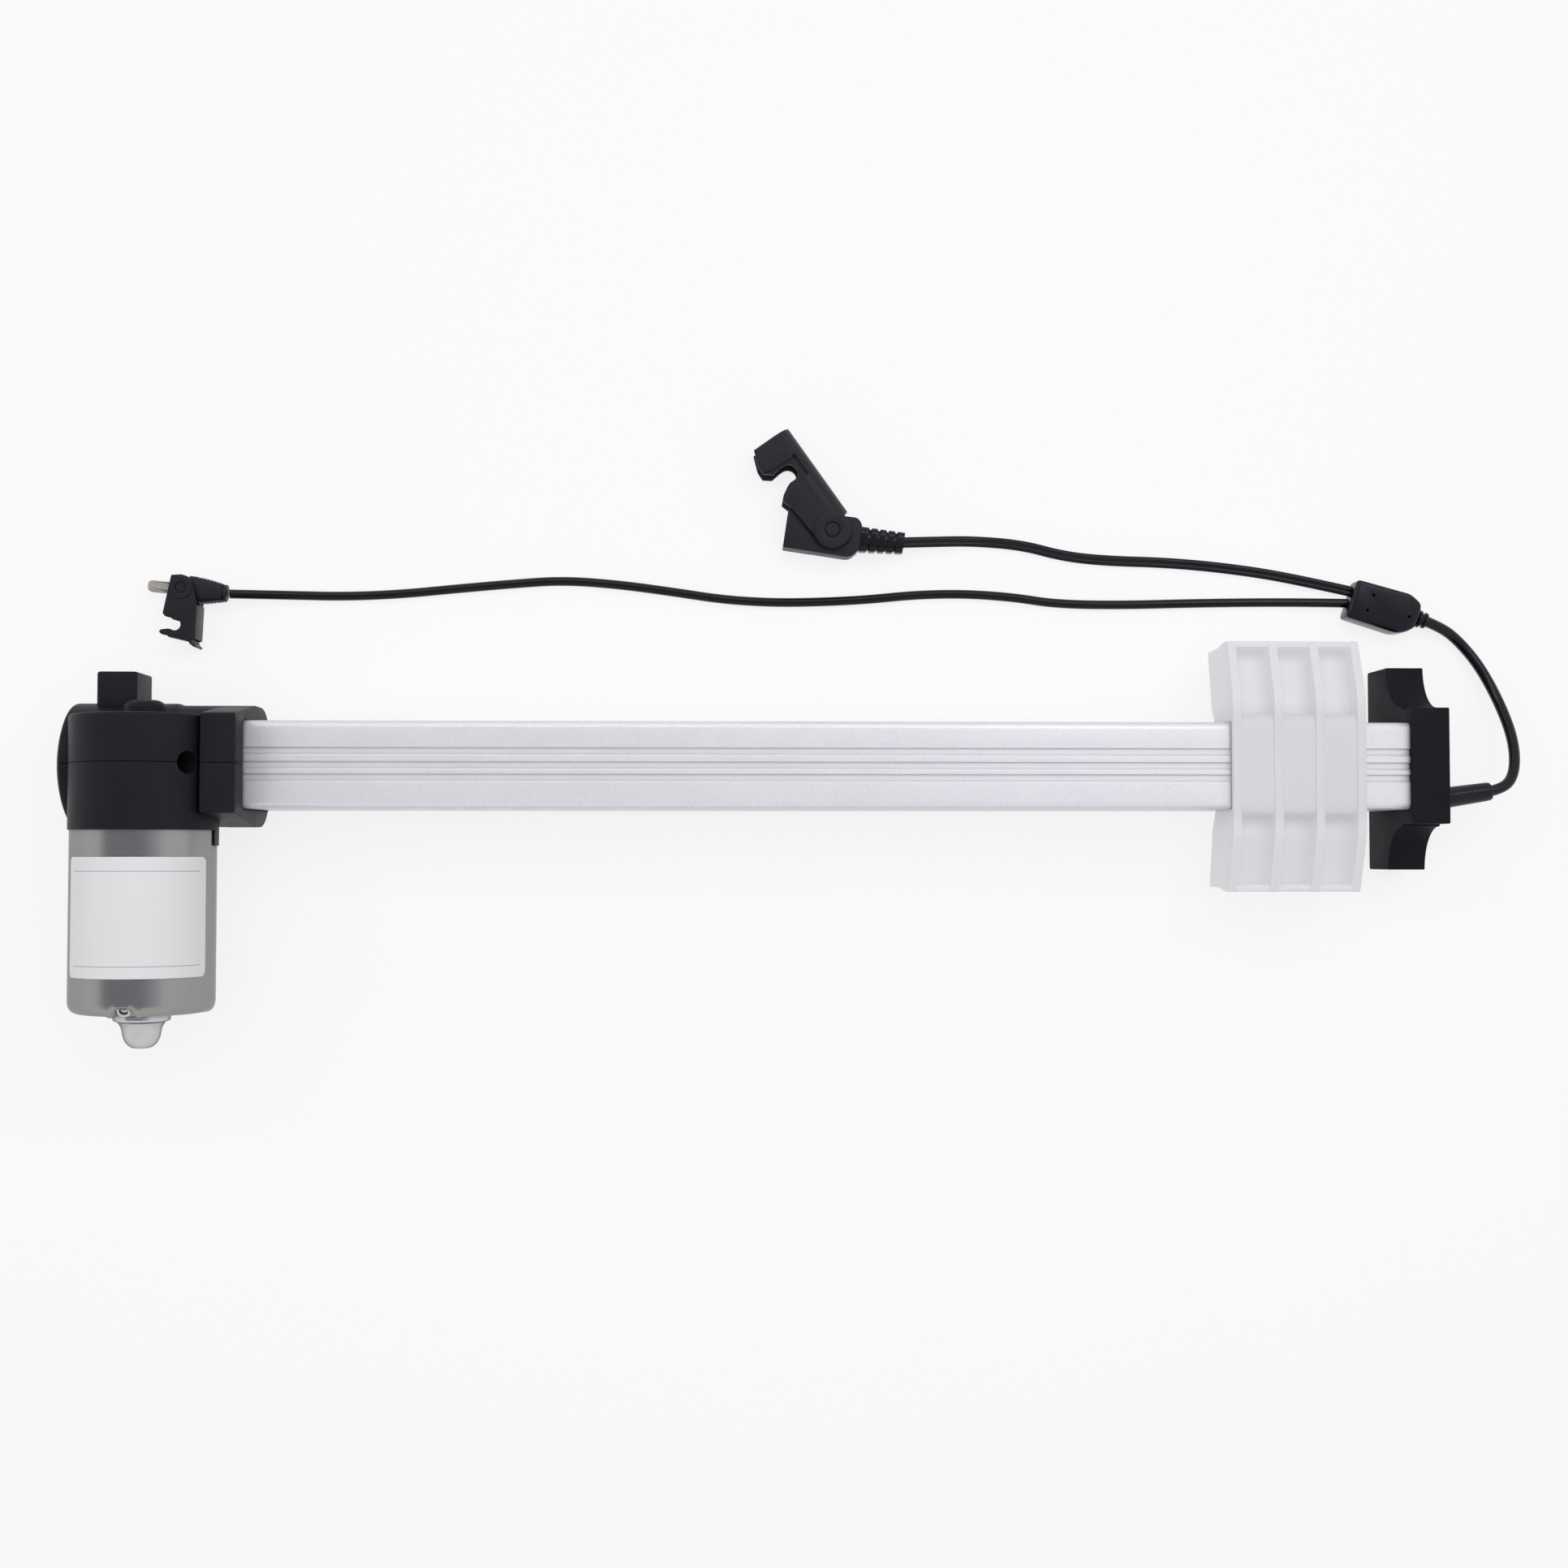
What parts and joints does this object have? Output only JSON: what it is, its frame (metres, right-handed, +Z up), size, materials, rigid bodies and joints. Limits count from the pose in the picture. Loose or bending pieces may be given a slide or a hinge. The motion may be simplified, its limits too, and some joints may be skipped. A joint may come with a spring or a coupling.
{
  "type": "electric linear actuator",
  "caption": "Electric linear actuator with side motor, worm gearbox, extruded rail, ribbed slider on a spindle nut, end cap and split cable with latching connectors.",
  "frame": {"origin": "middle of the base of the actuator without its cords, on the table it lies on", "axes": "+X along the rail from the gearbox to the end cap, +Y away from the motor, +Z up from the table it lies on"},
  "size_m": [0.5316, 0.2268, 0.0674],
  "materials": {
    "housing_plastic": "fine moulded grain",
    "cap_plastic": "fine moulded grain",
    "connector_plastic": "satin moulded",
    "inner_plastic": "moulded",
    "motor_steel": "zinc plated drawn steel",
    "cup_steel": "zinc plated pressed steel",
    "zinc_steel": "zinc plated",
    "shaft_steel": "ground",
    "bearing_bronze": "sintered",
    "ferrite": "sintered",
    "carbon": "pressed carbon",
    "copper": "drawn copper",
    "contact_metal": "tin plated",
    "buffer_rubber": "matt",
    "anodised_rail": "blasted and anodised",
    "board_green": "solder mask",
    "lead_red": "smooth insulation",
    "cord_black": "smooth sheath",
    "pale_insert": "natural nylon",
    "slider_nylon": "natural nylon, slightly translucent",
    "label_film": "bare satin film"
  },
  "bodies": {
    "housing": {"gear_housing_upper": "housing_plastic", "gear_housing_lower": "housing_plastic", "housing_screws": "zinc_steel", "motor_can": "motor_steel", "motor_end_cup": "cup_steel", "motor_bearings": "bearing_bronze", "magnets": "ferrite", "brush_holder": "inner_plastic", "brushes": "carbon", "thrust_bearing": "zinc_steel", "spindle_end_bush": "bearing_bronze", "end_buffers": "buffer_rubber", "rail": "anodised_rail", "limit_switch_board": "board_green", "limit_switches": "inner_plastic", "motor_leads": "lead_red", "end_cap": "cap_plastic", "end_cap_screws": "zinc_steel", "cable_boot": "cord_black", "main_cable": "cord_black", "splitter": "cord_black", "socket_lead": "cord_black", "plug_lead": "cord_black", "socket_body": "connector_plastic", "socket_contacts": "contact_metal", "socket_strain_relief": "cord_black", "plug_body": "connector_plastic", "plug_insert": "pale_insert", "plug_contacts": "contact_metal"},
    "rotor": {"motor_shaft": "shaft_steel", "armature": "shaft_steel", "winding": "copper", "commutator": "copper", "worm": "shaft_steel"},
    "screw": {"spindle": "shaft_steel", "worm_wheel": "pale_insert", "fixing_nut": "zinc_steel"},
    "slider": {"drive_nut": "slider_nylon", "slider_screws": "zinc_steel", "slider_block": "slider_nylon"},
    "socket_latch_arm": {"socket_latch": "connector_plastic"},
    "plug_latch_arm": {"plug_latch": "connector_plastic"}
  },
  "joints": [
    {"name": "rotor_spin", "type": "hinge", "parent": "housing", "child": "rotor", "pos_m": [-0.22597, 0.02705, 0.042], "axis": [0, 1, 0], "range_deg": [-109890, 0]},
    {"name": "spindle_spin", "type": "hinge", "parent": "housing", "child": "screw", "pos_m": [-0.22597, 0.02705, 0.026], "axis": [1, 0, 0], "range_deg": [0, 9990]},
    {"name": "slider_travel", "type": "slide", "parent": "housing", "child": "slider", "axis": [1, 0, 0], "range_m": [-0.333, 0]},
    {"name": "socket_latch_hinge", "type": "hinge", "parent": "housing", "child": "socket_latch_arm", "pos_m": [0.01743, 0.11585, 0.0067], "axis": [0, 0, 1], "range_deg": [0, 46]},
    {"name": "plug_latch_hinge", "type": "hinge", "parent": "housing", "child": "plug_latch_arm", "pos_m": [-0.22237, 0.09355, 0.0057], "axis": [0, 0, 1], "range_deg": [-60, 0]}
  ],
  "couplings": [
    {"joint": "spindle_spin", "follows": "rotor_spin", "ratio": -0.090909},
    {"joint": "slider_travel", "follows": "rotor_spin", "m_per_rad": 0.00017362}
  ]
}
